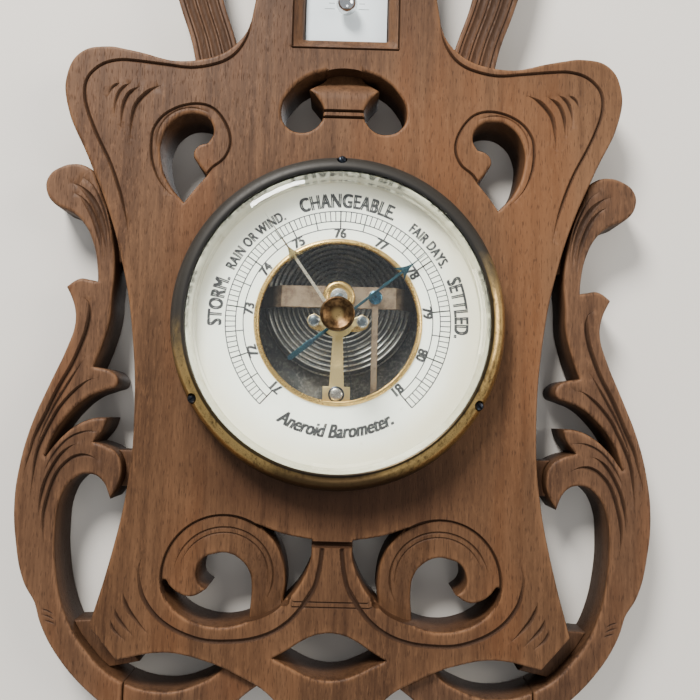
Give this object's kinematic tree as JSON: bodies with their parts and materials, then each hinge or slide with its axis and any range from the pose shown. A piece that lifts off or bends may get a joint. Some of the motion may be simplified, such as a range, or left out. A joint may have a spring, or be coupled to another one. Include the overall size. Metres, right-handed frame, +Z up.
{
  "type": "aneroid barometer",
  "caption": "Carved wooden wall barometer with a pierced and scrolled board, a round glazed dial with two hands over an open aneroid movement, and a tube thermometer.",
  "frame": {"origin": "on the wall plane, at the centre of the drum's flat back plate, on the dial's axis", "axes": "+Z up the barometer's height, +X to the right as seen from the front, +Y into the wall, so the dial faces -Y"},
  "size_m": [0.2632, 0.052, 0.582],
  "materials": {
    "walnut": "waxed, satin",
    "walnut_dark": "waxed, satin, darker from handling and age",
    "opal_glass": "polished white opal",
    "clear_glass": "polished",
    "mercury": "liquid metal",
    "brass": "lacquered",
    "aged_brass": "tarnished, partly blackened",
    "knob_brass": "browned",
    "enamelled_card": "satin printed",
    "black_japan": "black japanned",
    "nickel_silver": "satin",
    "browned_steel": "browned",
    "blued_steel": "heat blued",
    "bright_steel": "polished"
  },
  "bodies": {
    "case": {"front_board": "walnut", "crest": "walnut", "back_frame_left": "walnut_dark", "back_frame_right": "walnut_dark", "bottom_arc_left": "walnut_dark", "bottom_arc_right": "walnut_dark", "left_horn": "walnut_dark", "right_horn": "walnut_dark", "thermometer_backing": "walnut_dark", "thermometer_plate": "opal_glass", "thermometer_glass": "clear_glass", "dial_glass": "clear_glass", "thermometer_mercury": "mercury", "tube_clip_lower": "brass", "tube_clip_upper": "brass", "hanger_plate": "brass", "hanger_screw_upper": "brass", "hanger_screw_lower": "brass", "aperture_ring": "brass", "dial_seat": "brass", "sight_ring": "brass", "shaft_bracket_left": "brass", "shaft_bracket_right": "brass", "arbor_cock": "brass", "pointer_bridge": "brass", "bridge_pillar": "brass", "drum_case": "aged_brass", "bezel": "aged_brass", "dial_card": "enamelled_card", "base_plate": "black_japan", "capsule_lower_shell": "nickel_silver", "main_spring": "browned_steel", "hairspring": "blued_steel", "bezel_screw_top": "blued_steel", "bezel_screw_left": "blued_steel", "bezel_screw_right": "blued_steel", "plate_screw_top": "bright_steel", "plate_screw_left": "bright_steel", "plate_screw_right": "bright_steel", "spring_screw_left": "bright_steel", "spring_screw_right": "bright_steel", "bridge_screw": "bright_steel", "cock_screw_left": "bright_steel", "cock_screw_right": "bright_steel"},
    "pointer": {"pointer": "blued_steel", "pointer_arbor": "bright_steel", "pulley": "brass"},
    "set_hand": {"set_hand": "brass", "knob": "knob_brass"},
    "rocking_shaft": {"rocking_shaft": "bright_steel", "chain_arm": "brass", "link_arm": "brass"},
    "main_lever": {"main_lever": "browned_steel", "lever_screw": "blued_steel", "link_rod": "brass"},
    "capsule_top": {"capsule_upper_shell": "nickel_silver", "capsule_post": "nickel_silver", "spring_collar": "brass"},
    "chain": {"chain": "bright_steel"},
    "adjusting_screw": {"adjusting_screw": "brass"}
  },
  "joints": [
    {"name": "pointer_turn", "type": "hinge", "parent": "case", "child": "pointer", "pos_m": [0, -0.0278, 0], "axis": [0, 1, 0], "range_deg": [-189, 87]},
    {"name": "set_hand_turn", "type": "hinge", "parent": "case", "child": "set_hand", "pos_m": [0, -0.0297, 0], "axis": [0, 1, 0], "continuous": true},
    {"name": "rocking_shaft_turn", "type": "hinge", "parent": "case", "child": "rocking_shaft", "pos_m": [0.008, -0.009, -0.038], "axis": [1, 0, 0], "range_deg": [-29, 14]},
    {"name": "main_lever_tilt", "type": "hinge", "parent": "case", "child": "main_lever", "pos_m": [0.0152, -0.0208, 0.011], "axis": [1, 0, 0], "range_deg": [-1.3, 2.6]},
    {"name": "capsule_flex", "type": "slide", "parent": "case", "child": "capsule_top", "axis": [0, 1, 0], "range_m": [-0.00012, 0.00006]},
    {"name": "chain_run", "type": "slide", "parent": "case", "child": "chain", "axis": [0.1515, 0, -0.9885], "range_m": [-0.006, 0.003]},
    {"name": "adjusting_screw_turn", "type": "hinge", "parent": "case", "child": "adjusting_screw", "pos_m": [0, -0.001, 0.011], "axis": [0, 1, 0], "range_deg": [-360, 360]}
  ],
  "couplings": [
    {"joint": "rocking_shaft_turn", "follows": "pointer_turn", "ratio": 0.15},
    {"joint": "main_lever_tilt", "follows": "pointer_turn", "ratio": -0.013333},
    {"joint": "capsule_flex", "follows": "pointer_turn", "m_per_rad": 0.00003},
    {"joint": "chain_run", "follows": "pointer_turn", "m_per_rad": 0.0015}
  ]
}
